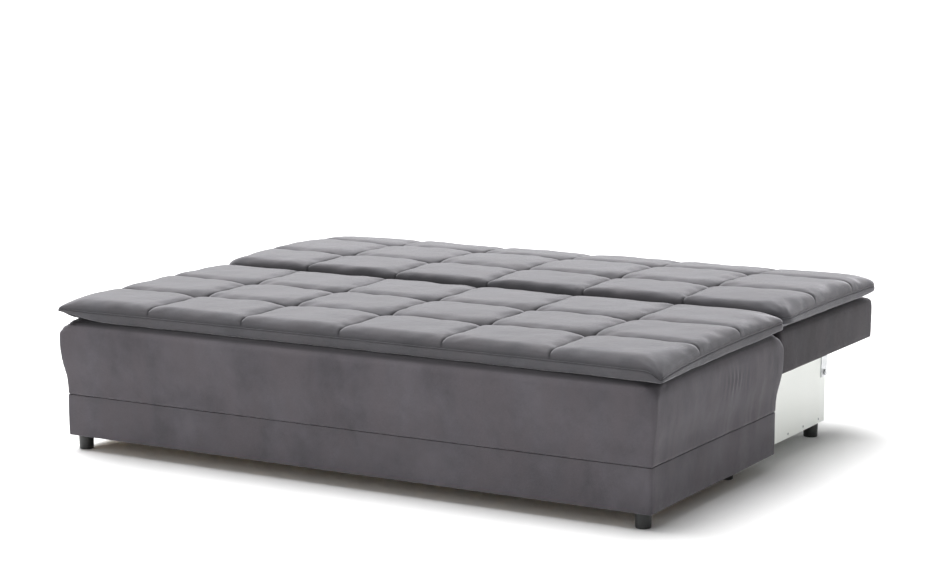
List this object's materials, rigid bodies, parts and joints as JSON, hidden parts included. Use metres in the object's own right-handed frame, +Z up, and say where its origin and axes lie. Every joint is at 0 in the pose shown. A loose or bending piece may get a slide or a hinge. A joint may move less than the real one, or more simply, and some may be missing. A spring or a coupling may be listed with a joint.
{
  "type": "pull-out sofa bed",
  "caption": "Armless pull-out sofa bed opened flat: tufted velvet seat and back pads over a white bedding box on round feet.",
  "frame": {"origin": "on the floor under the middle of the whole piece, opened out as a bed", "axes": "+X to the right seen from the front, along the 2 m length; +Y to the rear; +Z up"},
  "size_m": [2, 1.6254, 0.492],
  "materials": {
    "body_velvet": "short-pile velvet",
    "pad_velvet": "short-pile velvet, tufted",
    "foam": "open-cell foam",
    "dust_cloth": "spun-bonded cloth",
    "white_board": "white melamine-faced chipboard",
    "raw_board": "raw chipboard",
    "timber": "planed softwood",
    "black_plastic": "moulded, satin",
    "steel": "bright zinc plate"
  },
  "bodies": {
    "bedding_box": {"box_bottom_panel": "white_board", "box_divider": "white_board", "box_foot_front_left": "black_plastic", "box_foot_front_right": "black_plastic", "box_foot_rear_left": "black_plastic", "box_foot_rear_right": "black_plastic", "box_front_panel": "white_board", "box_pivot_plate_left": "steel", "box_pivot_plate_right": "steel", "box_rear_panel": "white_board", "box_side_left": "white_board", "box_side_right": "white_board", "bracket_screw_left": "steel", "bracket_screw_right": "steel", "panel_screw_left_1": "steel", "panel_screw_left_2": "steel", "panel_screw_left_3": "steel", "panel_screw_right_1": "steel", "panel_screw_right_2": "steel", "panel_screw_right_3": "steel", "rear_bracket_left": "steel", "rear_bracket_right": "steel"},
    "seat_unit": {"seat_deck": "raw_board", "seat_foam": "foam", "seat_foot_left": "black_plastic", "seat_foot_right": "black_plastic", "seat_front_board": "raw_board", "seat_pad": "pad_velvet", "seat_plinth_cover": "body_velvet", "seat_rear_rail": "timber", "seat_runner_left": "timber", "seat_runner_right": "timber", "seat_side_board_left": "raw_board", "seat_side_board_right": "raw_board", "seat_upper_cover": "body_velvet"},
    "left_arm": {"swing_arm_left": "steel"},
    "right_arm": {"swing_arm_right": "steel"},
    "back_unit": {"back_cover": "body_velvet", "back_cross_rail_left": "timber", "back_cross_rail_right": "timber", "back_deck": "raw_board", "back_dust_cover": "dust_cloth", "back_foam": "foam", "back_front_rail": "timber", "back_pad": "pad_velvet", "back_pivot_plate_left": "steel", "back_pivot_plate_right": "steel", "back_rear_rail": "timber", "back_side_rail_left": "timber", "back_side_rail_right": "timber"}
  },
  "joints": [
    {"name": "seat_slide", "type": "slide", "parent": "bedding_box", "child": "seat_unit", "axis": [0, 1, 0], "range_m": [0, 0.35]},
    {"name": "left_arm_swing", "type": "hinge", "parent": "bedding_box", "child": "left_arm", "pos_m": [-0.891, 0.36475, 0.0911], "axis": [-1, 0, 0], "range_deg": [0, 101.3]},
    {"name": "right_arm_swing", "type": "hinge", "parent": "bedding_box", "child": "right_arm", "pos_m": [0.891, 0.36475, 0.0911], "axis": [-1, 0, 0], "range_deg": [0, 101.3]},
    {"name": "back_fold", "type": "hinge", "parent": "left_arm", "child": "back_unit", "pos_m": [-0.891, 0.08375, 0.293], "axis": [1, 0, 0], "range_deg": [0, 185.3]}
  ],
  "couplings": [
    {"joint": "left_arm_swing", "follows": "seat_slide", "rad_per_m": 5.0515},
    {"joint": "right_arm_swing", "follows": "seat_slide", "rad_per_m": 5.0515},
    {"joint": "back_fold", "follows": "seat_slide", "rad_per_m": 9.2403}
  ]
}
